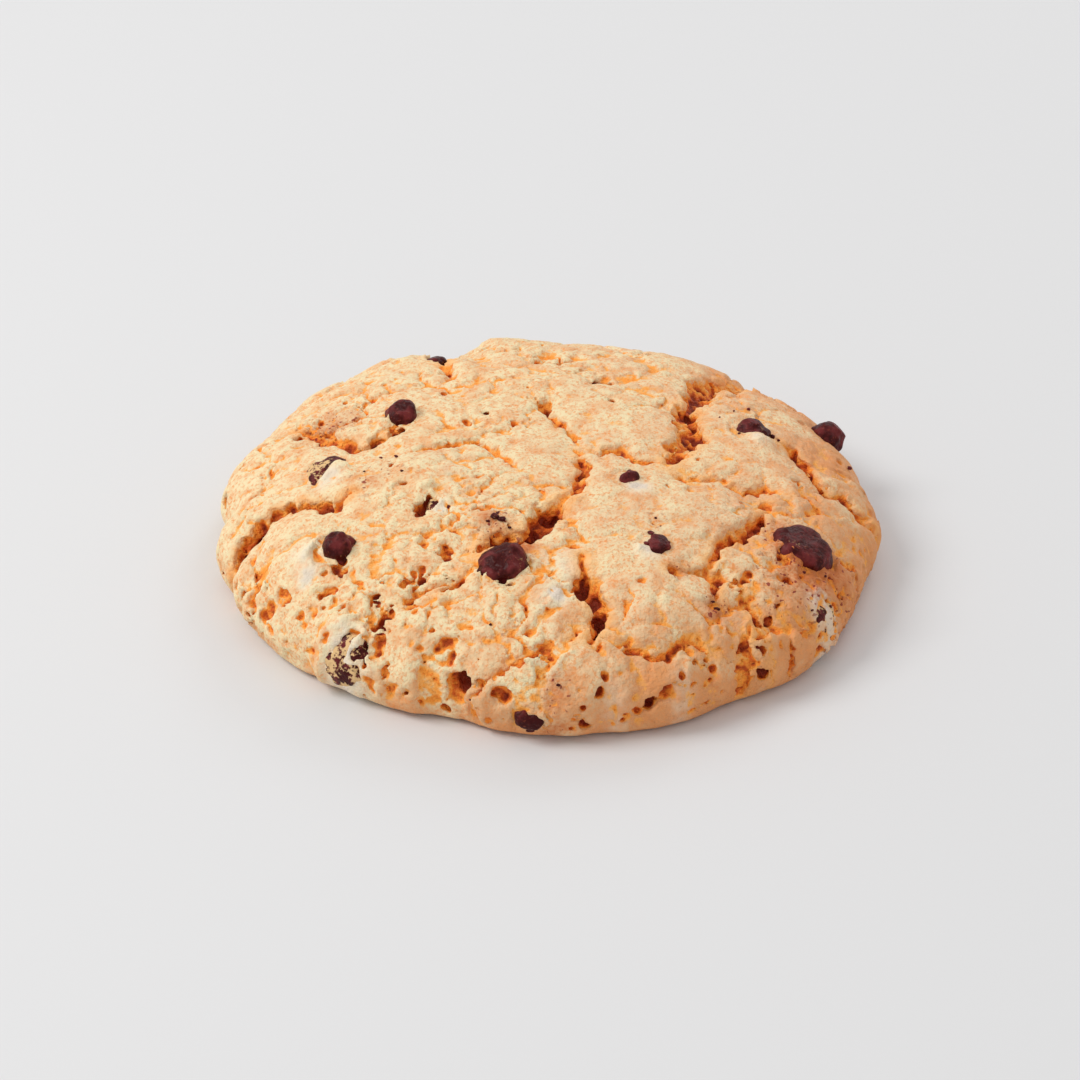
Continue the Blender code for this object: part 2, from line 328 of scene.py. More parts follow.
# Dough that lies over parts of the chips, or stands up as small lumps: x, y, radius, rise
covers = [
    (-34.0, -5.4, 2.2, 1.3), (-35.2, -41.4, 1.7, 1.2), (-28.8, -44.4, 1.5, 0.9),
    (34.2, 5.4, 2.0, 1.4), (37.0, -25.0, 2.2, 1.6), (42.4, -31.0, 3.4, 0.7), (-36.8, -25.2, 2.4, 1.3),
    (-10.6, -34.4, 1.6, 1.2), (-19.6, -13.6, 1.6, 0.9), (14.2, -29.4, 1.0, 0.7),
    (32.1, -42.0, 1.8, 0.8), (-3.0, -50.6, 2.4, 1.2), (-26.5, 10.0, 1.4, 0.9),
    (-33.0, -38.8, 2.4, 1.6), (-29.8, -42.6, 1.3, 1.3), (-35.4, -43.0, 1.4, 1.0),
]


# distance from places to a run of straight stretches, the side they lie on, and
# how far the nearest point is from the run's closer end
def lineDistance(x, y, line):
    best = np.full(x.shape, 1e9)
    side = np.ones(x.shape)
    along = np.zeros(x.shape)
    walked = 0.0
    for (ax, ay), (bx, by) in zip(line, line[1:]):
        dx, dy = bx - ax, by - ay
        length = math.hypot(dx, dy)
        share = np.clip(((x - ax) * dx + (y - ay) * dy) / length**2, 0, 1)
        away = np.hypot(x - ax - share * dx, y - ay - share * dy)
        closer = away < best
        best = np.where(closer, away, best)
        side = np.where(closer, np.sign(dx * (y - ay) - dy * (x - ax)), side)
        along = np.where(closer, walked + share * length, along)
        walked += length
    return best, side, np.minimum(along, walked - along)


# how far each chip stands above the crust around it, in mm
chipsAbove = {
    1: 3.0, 2: 0.8, 3: 3.0, 4: 2.6, 5: 0.2, 6: -1.0, 7: 1.3,
    8: 1.5, 9: 2.8, 10: 0.35, 11: 1.0, 12: -0.5, 13: 0.2, 14: -0.7,
}

crackShape = {
    "unevenLength": 5.0,  # how soon a crack turns from narrow to wide
    "floorLength": 2.6,  # and from shallow to deep
    "patchLength": 9.0,  # and plates from whole to torn
    "taper": 5.0,  # length over which a crack runs out
    "shoulder": 3.5,  # how far the raised side of a crack slopes back
    "sink": 0.22,  # how much the crust sags towards a crack, of the crack's depth
    "bend": 3.0,  # how far the plates stray from even cells
    "border": 1.6,  # how wide the crust sags between two plates
    "moatDepth": 0.35,  # groove round each chip
    "moatWidth": 0.16,  # of the chip's radius
}


# maps, seen from above, of how deep the cracks go, how far the crust lifts, how open
# the crumb is and how near the cracks are
def makeCrackMaps(spacing=0.25, reach=62.0):
    places = np.arange(-reach, reach + spacing, spacing)
    x, y = np.meshgrid(places, places, indexing="ij")
    flat = np.stack([x.ravel(), y.ravel(), 0 * x.ravel()], 1).astype(np.float32)
    uneven = (1 + 0.6 * roughNoise(flat, crackShape["unevenLength"], 3, 2.7)).reshape(x.shape)
    floor = (1 + 0.5 * roughNoise(flat, crackShape["floorLength"], 2, 9.1)).reshape(x.shape)
    some = (0.5 + 0.8 * noiseAt(flat, crackShape["patchLength"], 4.9)).reshape(x.shape)
    carve = np.zeros(x.shape)
    near = np.zeros(x.shape)
    lift = readPatches(x, y, mounds)
    for line, width, depth, step in cracks:
        away, side, fromEnd = lineDistance(x, y, line)
        taper = 0.3 + 0.7 * smoothStep(fromEnd, 0.0, crackShape["taper"])
        half = 0.5 * width * np.clip(uneven, 0.25, 2) * taper
        share = np.clip(away / half, 0, 1)
        carve = np.maximum(carve, depth * taper * floor * (1 - share**3))
        lift += 0.5 * step * side * np.exp(-away / crackShape["shoulder"]) * taper
        lift -= crackShape["sink"] * depth * np.exp(-((away / (0.6 * width + 1.5)) ** 2)) * taper
        near = np.maximum(near, np.exp(-((away / (0.7 * width + 0.6)) ** 2)) * min(1.0, depth / 2.5))
    for hx, hy, radius in hollows:
        away = np.hypot(x - hx, y - hy)
        lift -= 0.25 * radius * np.exp(-((away / (1.8 * radius)) ** 2))
    sponge = readPatches(x, y, porousPatches) + 0.1
    broken = np.clip(1.6 * sponge + 0.15, 0, 1)
    shift = np.stack([uneven - 1, some - 0.5, 0 * some], -1).reshape(-1, 3).astype(np.float32)
    bent = flat + crackShape["bend"] * shift
    for size, share in ((dough["plateSize"], 1.0), (0.5 * dough["plateSize"], 0.5)):
        first, second, tone = (part.reshape(x.shape) for part in grainsAt(bent, size, 0.37))
        border = (second - first) * 0.5 * size
        tear = share * np.clip(some + 0.2, 0, 1) * broken * dough["plateTear"]
        lift += share * dough["plateStep"] * (0.25 + 0.75 * broken) * tone
        lift -= 0.3 * tear * np.exp(-((border / crackShape["border"]) ** 2))
        half = 0.45 * share**0.5 * np.clip(uneven, 0.4, 2)
        carve = np.maximum(carve, tear * floor * (1 - np.clip(border / half, 0, 1) ** 3))
    moat = np.zeros(x.shape)
    for number in chipsAbove:
        low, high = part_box(f"chip_{number:02d}")
        middle = (low + high) / 2 / mm
        away = np.hypot(x - middle.x, y - middle.y) / ((high - low).x / 2 / mm)
        lift *= smoothStep(away, 0.6, 1.6)
        moat += crackShape["moatDepth"] * np.exp(-(((away - 1.0) / crackShape["moatWidth"]) ** 2))
        sponge *= smoothStep(away, 0.8, 1.3)
    lift += readPatches(x, y, covers)
    maps = [carve, lift - moat, sponge, near]
    return [(one.astype(np.float32), (-reach, -reach), spacing) for one in maps]


carveMap, liftMap, spongeMap, nearMap = makeCrackMaps()


# how far along its path each place meets the smooth crust, found by halving the stretch
def reachCrust(spotsAt, low, high):
    for _ in range(16):
        middle = 0.5 * (low + high)
        inside = roundDistance(spotsAt(middle)) < 0
        low = np.where(inside, middle, low)
        high = np.where(inside, high, middle)
    return low


# height of the smooth crust over a place
def crustHeight(x, y):
    low = np.full(len(x), dough["bulgeHeight"])
    high = np.full(len(x), crownHeight + 1)
    return reachCrust(lambda height: np.stack([x, y, height], 1), low, high)


# the hollows as balls: x, y, radius, depth of the middle below the crust
def scatterPores(dice):
    rows = []
    for x, y, radius in hollows:
        for _ in range(dough["ballsPerHole"]):
            turn = dice.uniform(0, 2 * np.pi)
            away = radius * dice.uniform(0.2, 0.9)
            size = radius * dice.uniform(0.45, 0.85)
            low = dice.uniform(-0.1, 1.3) * radius
            rows.append((x + away * math.cos(turn), y + away * math.sin(turn), size, low))
    return np.array(rows, np.float32)


# the pits in the side, and many loose small ones, as balls: x, y, z, radius
def underSide(dice):
    pits = list(sidePits)
    for _ in range(dough["looseSidePits"]):
        pits.append((dice.uniform(0, 360), dice.uniform(2.0, 15.0), 0.3 + 0.6 * dice.random() ** 2))
    heights = np.array([height for _, height, _ in pits], np.float32)
    turns = np.radians([turn for turn, _, _ in pits])
    reaches = reachCrust(
        lambda reach: np.stack([reach * np.cos(turns), reach * np.sin(turns), heights], 1),
        np.zeros(len(pits)),
        np.full(len(pits), 60.0),
    )
    rows = []
    for turn, reach, (_, height, radius) in zip(turns, reaches, pits):
        for _ in range(dough["ballsPerHole"]):
            inner = reach - dice.uniform(-0.1, 1.4) * radius
            shift = dice.uniform(-0.6, 0.6, 3) * radius
            x = inner * math.cos(turn) + shift[0]
            y = inner * math.sin(turn) + shift[1]
            rows.append((x, y, height + shift[2], radius * dice.uniform(0.5, 0.95)))
    return np.array(rows, np.float32)


# balls given by their depth below the crust, as x, y, z, radius
def underCrust(rows):
    turn = np.degrees(np.arctan2(rows[:, 1], rows[:, 0])) % 360
    wide = np.interp(turn, np.arange(121) * 3, np.append(edgeRadii, edgeRadii[0]))
    rows = rows[np.hypot(rows[:, 0], rows[:, 1]) < wide - 0.6]
    lift = readMap(*liftMap, rows[:, 0], rows[:, 1])
    height = crustHeight(rows[:, 0], rows[:, 1]) + lift - rows[:, 3]
    return np.stack([rows[:, 0], rows[:, 1], height, rows[:, 2]], 1)


# distance to the torn dough at the given points, and to its crust as if there were no cracks
def doughField(points):
    smoothRound = roundDistance(points)
    onTop = smoothStep(points[:, 2], 0.4, 3.0).astype(np.float32)
    seenFromAbove = points * np.float32((1, 1, 0))
    warpX = dough["wander"] * noiseAt(points, dough["wanderLength"], 1.1)
    warpX += dough["teeth"] * roughNoise(points, dough["teethLength"], 3, 6.1)
    warpY = dough["wander"] * noiseAt(points, dough["wanderLength"], 3.7)
    warpY += dough["teeth"] * roughNoise(points, dough["teethLength"], 3, 8.3)
    x = points[:, 0] + warpX
    y = points[:, 1] + warpY
    carve = readMap(*carveMap, x, y) * onTop
    lift = readMap(*liftMap, points[:, 0] + 0.7 * warpX, points[:, 1] + 0.7 * warpY)
    swell = dough["swell"] * noiseAt(seenFromAbove, dough["swellLength"], 0.4) * onTop
    broken = np.clip(1.6 * readMap(*spongeMap, points[:, 0], points[:, 1]), 0, 1)
    swell += noiseAt(points, dough["lumpLength"], 2.2) * (0.08 + 0.16 * broken)
    crust = smoothRound - lift * onTop - swell
    return np.stack([crust + carve, crust])


# takes balls out of the volume, which reach past their radius where they wobble
def takeOutBalls(field, axes, low, rows, wobble):
    grid = dough["grid"]
    for x, y, z, radius in rows:
        middle = np.array((x, y, z))
        reach = 1.6 * radius
        first = np.maximum(np.floor((middle - reach - low) / grid).astype(int), 0)
        last = np.ceil((middle + reach - low) / grid).astype(int) + 1
        box = tuple(slice(a, b) for a, b in zip(first, last))
        gx, gy, gz = (axes[axis][box[axis]] for axis in range(3))
        away = (gx[:, None, None] - x) ** 2 + (gy[None, :, None] - y) ** 2 + (gz[None, None, :] - z) ** 2
        field[box] = np.maximum(field[box], radius - np.sqrt(away) * (1 + 0.4 * wobble[box]))


# what the torn crumb is made of: grains, fine noise and holes that are wider than high
def crumbNoise(spots):
    bent = spots + 0.5 * noiseAt(spots, 2.3, 0.9)[:, None]
    nearest, second, _ = grainsAt(bent, dough["crumbSize"], 0.3)
    fine = roughNoise(spots, dough["fineCrumbSize"], 3, 4.4)
    holes = roughNoise(spots * np.float32((1, 1, 1.3)), dough["spongeSize"], 3, 7.7)
    return np.stack([nearest, second, fine, holes])


# the dough as a volume of distances, from which its faces are made
def buildDough():
    grid = dough["grid"]
    dice = np.random.default_rng(dough["seed"])
    low = doughLow - 3 * grid - (0.5, 0.5, 0)
    count = np.ceil((doughHigh + 3 * grid + (0.5, 0.5, 0.8) - low) / grid).astype(int)
    axes = [low[axis] + grid * np.arange(count[axis]) for axis in range(3)]
    cells = np.stack(np.meshgrid(*axes, indexing="ij"), -1).reshape(-1, 3).astype(np.float32)
    smooth = inParts(roundDistance, cells)
    report("smooth round")
    field = smooth.copy()
    crumbReach = dough["crumbReach"]
    deep = (smooth > -dough["crackReach"]) & (cells[:, 2] > dough["crackFloor"])
    band = (smooth < crumbReach) & (deep | (smooth > -crumbReach))
    field[band], crust = inParts(doughField, cells[band])
    below = np.zeros(len(cells), np.float32)
    below[band] = -crust
    report(f"cracks over {band.sum()} cells")
    grain = np.abs(field) < crumbReach
    spots = cells[grain]
    torn = smoothStep(below[grain], 0.25, 1.3)
    nearest, second, fine, holes = inParts(crumbNoise, spots)
    crumb = dough["crumbDepth"] * (0.5 - nearest) + 0.3 * (second - nearest)
    openness = readMap(*spongeMap, spots[:, 0], spots[:, 1]) * smoothStep(spots[:, 2], 0.5, 3.0)
    openness = np.clip(openness, 0, 1.2)
    field[grain] -= torn * (crumb + 0.45 * fine) + (1 - torn) * (0.02 + 0.12 * openness) * fine
    opened = smoothStep(holes, 1.02 - 0.72 * openness, 1.3 - 0.72 * openness)
    field[grain] += dough["spongeDepth"] * opened
    report(f"crumb over {grain.sum()} cells")
    wobble = np.zeros(len(cells), np.float32)
    wobble[grain] = fine
    field = field.reshape(count)
    wobble = wobble.reshape(count)
    takeOutBalls(field, axes, low, underCrust(scatterPores(dice)), wobble)
    takeOutBalls(field, axes, low, underSide(dice), wobble)
    field = np.maximum(field, -axes[2][None, None, :])
    report("pores")
    volume = openvdb.FloatGrid(3.0)
    volume.copyFromArray(np.clip(field, -3, 3).astype(np.float32))
    volume.transform = openvdb.createLinearTransform(voxelSize=grid)
    spots, triangles, quads = volume.convertToPolygons(isovalue=0.0, adaptivity=dough["meshSlack"])
    spots = spots + low
    report(f"{len(spots)} points, {len(triangles)} triangles, {len(quads)} quads")
    return spots, triangles, quads


# points joined by faces carry the same number: the largest such body is kept
def keepLargest(spots, triangles, quads):
    sides = [quads[:, :2], quads[:, 1:3], quads[:, 2:], triangles[:, :2], triangles[:, 1:]]
    pairs = np.concatenate(sides)
    label = np.arange(len(spots))
    while True:
        before = label.copy()
        low = np.minimum(label[pairs[:, 0]], label[pairs[:, 1]])
        np.minimum.at(label, pairs[:, 0], low)
        np.minimum.at(label, pairs[:, 1], low)
        label = label[label[label]]
        if (label == before).all():
            break
    keep = label == np.bincount(label).argmax()
    number = np.cumsum(keep) - 1
    triangles = number[triangles[keep[triangles[:, 0]]]] if len(triangles) else triangles
    return spots[keep], triangles, number[quads[keep[quads[:, 0]]]]


def meshFrom(name, spots, triangles, quads):
    mesh = bpy.data.meshes.new(name)
    mesh.vertices.add(len(spots))
    mesh.vertices.foreach_set("co", (spots * mm).astype(np.float32).ravel())
    corners = np.concatenate([triangles.ravel(), quads.ravel()]).astype(np.int32)
    sizes = np.concatenate([np.full(len(triangles), 3), np.full(len(quads), 4)])
    starts = np.concatenate([[0], np.cumsum(sizes)[:-1]]).astype(np.int32)
    mesh.loops.add(len(corners))
    mesh.loops.foreach_set("vertex_index", corners)
    mesh.polygons.add(len(sizes))
    mesh.polygons.foreach_set("loop_start", starts)
    mesh.update(calc_edges=True)
    mesh.validate()
    mesh.shade_smooth()
    return mesh


# merges the faces that matter least until few enough are left
def thinOut(mesh, mostTriangles):
    mesh.calc_loop_triangles()
    before = len(mesh.loop_triangles)
    rough = bpy.data.objects.new("roughDough", mesh)
    bpy.context.collection.objects.link(rough)
    rough.modifiers.new("thin", "DECIMATE").ratio = min(1.0, mostTriangles / before)
    graph = bpy.context.evaluated_depsgraph_get()
    thin = bpy.data.meshes.new_from_object(rough.evaluated_get(graph))
    bpy.data.objects.remove(rough)
    thin.calc_loop_triangles()
    thin.shade_smooth()
    report(f"{before} triangles thinned to {len(thin.loop_triangles)}")
    return thin


def spotsOf(mesh):
    spots = np.empty(len(mesh.vertices) * 3, np.float32)
    mesh.vertices.foreach_get("co", spots)
    return spots.reshape(-1, 3) / mm


doughMesh = thinOut(meshFrom("doughCrust", *keepLargest(*buildDough())), dough["mostTriangles"])
doughSpots = spotsOf(doughMesh)


# how much each point of the mesh lies in a dip, seen over a few and over many of its neighbours
def measureDips(mesh, spots, few=4, many=30):
    edges = np.empty(len(mesh.edges) * 2, np.int32)
    mesh.edges.foreach_get("vertices", edges)
    first, second = edges.reshape(-1, 2).T
    count = np.bincount(first, minlength=len(spots)) + np.bincount(second, minlength=len(spots))
    normals = np.empty(len(spots) * 3, np.float32)
    mesh.vertices.foreach_get("normal", normals)
    normals = normals.reshape(-1, 3)
    smooth = spots.astype(np.float64)
    dips = []
    for turn in range(1, many + 1):
        total = np.empty_like(smooth)
        for axis in range(3):
            total[:, axis] = np.bincount(first, smooth[second, axis], len(spots))
            total[:, axis] += np.bincount(second, smooth[first, axis], len(spots))
        smooth = 0.4 * smooth + 0.6 * total / count[:, None]
        if turn in (few, many):
            dips.append(np.einsum("ij,ij->i", smooth - spots, normals))
    return dips


def addAttribute(mesh, name, values):
    made = mesh.attributes.new(name, "FLOAT", "POINT")
    made.data.foreach_set("value", np.asarray(values, np.float32))


# Pale bloom on the crust, and below it brown stains round the chips: x, y, radius, strength
hazePatches = [
    (-37.5, -25.5, 4.5, 0.9), (-35.2, -7.0, 4.0, 0.9), (2.0, -35.5, 4.5, 0.5),
    (-0.6, -41.5, 4.0, 0.5), (14.0, -13.4, 2.6, 1.3), (14.8, -29.7, 3.4, 0.9),
    (37.5, -20.7, 2.4, 1.3), (42.0, -31.5, 3.6, 1.2), (34.0, 4.7, 2.6, 0.9), (-31.2, -42.5, 4.4, 1.1),
    (1.0, -30.0, 5.0, 0.5), (-11.0, -33.0, 3.0, 0.6), (1.0, -39.8, 1.6, 0.9),
    (-17.0, -18.0, 2.4, 1.1), (-37.6, -29.6, 1.4, 0.9), (29.0, -16.0, 5.0, 0.5),
    (14.0, 44.0, 7.0, 0.6), (-15.0, -10.0, 5.0, 0.5), (24.0, -40.0, 5.0, 0.5),
    (-1.0, -50.0, 5.0, 0.6), (20.0, -51.0, 4.0, 0.6), (10.0, -54.0, 4.0, 0.6),
    (-27.0, -49.0, 4.0, 0.5),
]
stainPatches = [
    (-6.7, -27.5, 5.0, 0.5), (-9.0, -21.5, 3.0, 0.8), (39.0, -25.5, 4.0, 1.0),
    (43.5, -22.0, 3.0, 0.9), (36.0, 9.0, 3.0, 0.6), (34.0, 16.0, 4.0, 0.4), (25.0, -17.0, 6.0, 0.35),
    (-27.0, -8.0, 6.0, 0.45), (-30.0, -11.0, 4.0, 0.3), (-18.0, -3.0, 5.0, 0.3),
    (25.4, -38.6, 2.6, 1.0), (1.0, -53.5, 3.0, 0.8), (-14.0, -51.0, 5.0, 0.3),
    (16.0, -22.0, 3.0, 0.5), (-24.0, 9.0, 4.0, 0.3), (-6.0, -45.0, 5.0, 0.4), (36.0, -20.0, 3.5, 0.9),
    (41.0, -29.0, 8.0, 0.45), (48.0, -22.0, 6.0, 0.4), (34.0, -33.0, 6.0, 0.45),
    (-5.0, -28.0, 3.0, 0.9), (20.0, -33.0, 3.0, 0.8), (13.5, -9.0, 2.5, 0.5), (-36.0, 14.0, 7.0, 0.8),
]


finePart, broadPart = measureDips(doughMesh, doughSpots)
report("dips")
_, crustDistance = inParts(doughField, doughSpots)
addAttribute(doughMesh, "depth", -crustDistance)
addAttribute(doughMesh, "finePart", finePart)
addAttribute(doughMesh, "broadPart", broadPart)
addAttribute(doughMesh, "haze", readPatches(doughSpots[:, 0], doughSpots[:, 1], hazePatches))
addAttribute(doughMesh, "nearCrack", readMap(*nearMap, doughSpots[:, 0], doughSpots[:, 1]))
addAttribute(doughMesh, "stain", readPatches(doughSpots[:, 0], doughSpots[:, 1], stainPatches))
report("attributes")


# a socket of a material being made, which can be used in sums
class Wire:
    def __init__(self, finish, socket):
        self.finish = finish
        self.socket = socket

    def math(self, operation, first, second, clamp=False):
        settings = {"operation": operation, "use_clamp": clamp}
        return self.finish.node("ShaderNodeMath", settings, {0: first, 1: second})

    def __add__(self, other):
        return self.math("ADD", self, other)

    def __sub__(self, other):
        return self.math("SUBTRACT", self, other)

    def __rsub__(self, other):
        return self.math("SUBTRACT", other, self)

    def __mul__(self, other):
        return self.math("MULTIPLY", self, other)

    def clamped(self):
        return self.math("ADD", self, 0.0, clamp=True)

    def between(self, low, high):
        return self.finish.node(
            "ShaderNodeMapRange",
            {"interpolation_type": "SMOOTHSTEP"},
            {"Value": self, "From Min": low, "From Max": high},
        )

    __radd__ = __add__
    __rmul__ = __mul__


# a material, built node by node
class Finish:
    def __init__(self, name):
        self.material = bpy.data.materials.new(name)
        self.material.use_nodes = True
        self.tree = self.material.node_tree
        self.tree.nodes.clear()
        self.place = self.node("ShaderNodeTexCoord", output="Object")

    def node(self, kind, settings=None, sockets=None, output=0):
        made = self.tree.nodes.new(kind)
        for name, value in (settings or {}).items():
            setattr(made, name, value)
        for name, value in (sockets or {}).items():
            if isinstance(value, Wire):
                self.tree.links.new(value.socket, made.inputs[name])
            else:
                made.inputs[name].default_value = value
        return Wire(self, made.outputs[output]) if made.outputs else made

    def attribute(self, name):
        return self.node("ShaderNodeAttribute", {"attribute_name": name}, output="Fac")

    # noise from 0 to 1 whose blobs are about one size across, in mm
    def noise(self, size, detail=2.0):
        sockets = {"Vector": self.place, "Scale": 1 / (size * mm), "Detail": detail, "Roughness": 0.55}
        return self.node("ShaderNodeTexNoise", {}, sockets)

    def mix(self, share, first, second):
        settings = {"data_type": "RGBA", "blend_type": "MIX", "clamp_factor": True}
        return self.node("ShaderNodeMix", settings, {0: share, 6: first, 7: second}, output=2)

    # bumps are pairs of a height and how many mm a height of 1 stands for
    def shade(self, sockets, bumps=()):
        normal = {}
        for height, distance in bumps:
            bumpSockets = {"Height": height, "Distance": distance * mm, "Strength": 1.0, **normal}
            normal = {"Normal": self.node("ShaderNodeBump", {}, bumpSockets)}
        sockets = {**sockets, **normal}
        skin = self.node("ShaderNodeBsdfPrincipled", {}, sockets)
        self.node("ShaderNodeOutputMaterial", {}, {"Surface": skin})
        return self.material


# a colour given as it looks on a screen, from 0 to 255, as the shader's own linear values
def paint(red, green, blue):
    linear = [((c / 255 + 0.055) / 1.055) ** 2.4 if c > 10 else c / 3294 for c in (red, green, blue)]
    return (*linear, 1.0)


# Crust from pale to browned, with pink and orange that also paint the shade of the sides turned from the
# key lamp, then pale bloom, then the torn crumb from its edge inwards, whose later colours deepen into
# painted shade in cracks and dips
doughColours = {
    "gold": paint(240, 220, 175),
    "pinkAndShade": paint(234, 200, 158),
    "rimBrownAndShade": paint(220, 136, 70),
    "blush": paint(234, 172, 116),
    "warm": paint(252, 178, 98),
    "tan": paint(234, 154, 92),
    "cream": paint(243, 230, 202),
    "ash": paint(220, 206, 194),
    "edge": paint(250, 184, 98),
    "crumb": paint(253, 160, 60),
    "crumbDarkAndShade": paint(232, 108, 32),
    "deep": paint(140, 46, 16),
    "stain": paint(204, 116, 60),
    "speck": paint(150, 62, 44),
}


# pale crust that is browned in blotches, pinker towards the right and front and orange-brown low on the
# side, partly its own browning and partly painted shade of the sides turned from the key lamp;
# golden crumb where it is torn, darkening with painted shade down in cracks and dips to brown at their
# bottom, and brown stains round chips
def bakedDough():
    made = Finish("bakedDough")
    depth = made.attribute("depth")
    fine = made.attribute("finePart")
    broad = made.attribute("broadPart")
    patch = made.noise(9.0, 3.0)
    mottle = made.noise(2.2, 3.0)
    pimple = made.noise(1.1, 2.0)
    grain = made.noise(0.5, 2.0)
    across, away, up = (
        made.node("ShaderNodeSeparateXYZ", {}, {"Vector": made.place}, output=axis) for axis in "XYZ"
    )
    # pinker and a little darker towards the right and the front: partly the crust's own tone, partly
    # painted shade of the side away from the key lamp
    warm = (across * 16.0 - away * 3.0 + (patch - 0.5) * 3.2 + 0.2).clamped()
    crust = made.mix(warm, doughColours["gold"], doughColours["pinkAndShade"])
    # orange-brown low on the side and more so on the right: partly real browning of the cookie's side,
    # partly painted warm shade of the side
    rimBrownAndShade = ((0.013 - up) * 80.0 + across * 14.0 + (patch - 0.5) * 3.0).clamped()
    crust = made.mix(rimBrownAndShade * 0.8, crust, doughColours["rimBrownAndShade"])
    crust = made.mix(made.noise(4.5, 3.0).between(0.5, 0.66) * 0.45, crust, doughColours["blush"])
    # random toasting, plus painted shade in small dips (finePart) and in the low spots of the pimple
    # bumps
    toastedAndDipShade = mottle.between(0.48, 0.72) * 0.4 + grain.between(0.5, 0.64) * 0.55 + fine * 1.5
    toastedAndDipShade = (toastedAndDipShade + pimple.between(0.55, 0.35) * 0.45).clamped()
    crust = made.mix(toastedAndDipShade, crust, doughColours["tan"])
    torn = (made.attribute("nearCrack") * (mottle + 0.45)).between(0.35, 1.05)
    crust = made.mix(torn * 0.7, crust, doughColours["warm"])
    haze = (made.attribute("haze") * (mottle + 0.35)).between(0.25, 0.9)
    crust = made.mix(haze * 0.75, crust, doughColours["cream"])
    ash = (made.attribute("haze") * (mottle + 0.45)).between(0.75, 1.15)
    crust = made.mix(ash * 0.7, crust, doughColours["ash"])
    # how far into cracks and dips a place lies: the torn crumb's own colour there is made darker step by
    # step with painted shade
    hidden = depth + broad * 1.3 + fine * 1.6 + (grain - 0.5) * 0.7
    colour = made.mix(hidden.between(0.35, 1.0) * 0.8, crust, doughColours["edge"])
    stain = (made.attribute("stain") * (mottle + 0.2) * (grain + 0.5)).between(0.15, 0.9)
    colour = made.mix(stain, colour, doughColours["stain"])
    colour = made.mix(hidden.between(0.5, 1.4), colour, doughColours["crumb"])
    darker = (hidden + (mottle - 0.5) * 1.5 + (grain - 0.5) * 2.0).between(1.2, 2.6)
    colour = made.mix(darker, colour, doughColours["crumbDarkAndShade"])
    # painted shade: dark brown at the bottom of deep cracks, holes and dips
    darkest = (depth * 0.8 + broad * 1.5 + fine * 1.6 + mottle).between(1.9, 3.5)
    colour = made.mix(darkest, colour, doughColours["deep"])
    specks = made.noise(0.9, 1.0).between(0.65, 0.7) * made.attribute("stain").between(0.15, 0.7)
    colour = made.mix(specks, colour, doughColours["speck"])
    rough = grain * 0.2 + 0.55
    sockets = {"Base Color": colour, "Roughness": rough, "Specular IOR Level": 0.3}
    rubble = (pimple - 0.5) * depth.between(0.1, 1.6)  # only where the crust is torn
    return made.shade(sockets, [(mottle, 0.12), (pimple, 0.15), (grain, 0.22), (rubble, 0.8)])


# dust is how much of it is covered with fine pale crumb
def chocolate(name, dust):
    made = Finish(name)
    broad = made.noise(2.4, 3.0)
    grain = made.noise(0.5, 2.0)
    colour = made.mix(broad.between(0.42, 0.64), paint(62, 9, 8), paint(110, 40, 40))
    colour = made.mix(grain.between(0.6, 0.72) * 0.4, colour, paint(150, 72, 48))
    dusty = (made.noise(3.2, 3.0) * 0.7 + grain * 0.3).between(0.62 - 0.15 * dust, 0.68 - 0.15 * dust)
    colour = made.mix(dusty * (0.3 + 0.6 * dust), colour, paint(238, 198, 142))
    rough = (broad * 0.4 + 0.2 + dusty * 0.4).clamped()
    sockets = {"Base Color": colour, "Roughness": rough, "Specular IOR Level": 0.13}
    return made.shade(sockets, [(broad, 0.5), (grain, 0.12)])


# every visible piece rides on the one body of the cookie
def addPiece(name, mesh, material, nodes):
    piece = bpy.data.objects.new(name, mesh)
    bpy.context.collection.objects.link(piece)
    piece.data.materials.clear()
    piece.data.materials.append(material)
    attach(piece, "root")
    if nodes:
        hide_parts(*nodes)


doughFinish = bakedDough()
chocolateFinish = chocolate("chocolate", 0.0)
dustyFinish = chocolate("dustyChocolate", 0.95)
addPiece("doughRound", doughMesh, doughFinish, ["dough"])

chipShape = {
    "rounds": 3,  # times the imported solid's faces are split and rounded
    "dent": 0.55,
    "dentSize": 3.0,
    "ripple": 0.12,
    "rippleSize": 1.0,
    "facet": 0.9,
    "facetSize": 3.4,
    "grow": 1.06,  # makes up for what rounding takes off
    "pushDepth": 25,  # chips are pushed in towards the axis, at a place this far below them
    "dusty": [2, 5, 12, 14],  # chips under crumbs or skin
}

# How much single chips are drawn out sideways, front to back and upwards
chipStretch = {
    1: (0.92, 0.92, 1.1), 3: (0.84, 0.84, 1.1), 4: (0.94, 0.9, 1.0),
    6: (0.8, 0.8, 0.8), 7: (0.6, 0.75, 1.15), 8: (1.0, 0.9, 0.9),
    11: (1.12, 0.95, 1.0), 13: (0.85, 0.85, 0.85), 14: (0.9, 0.9, 0.9),
}


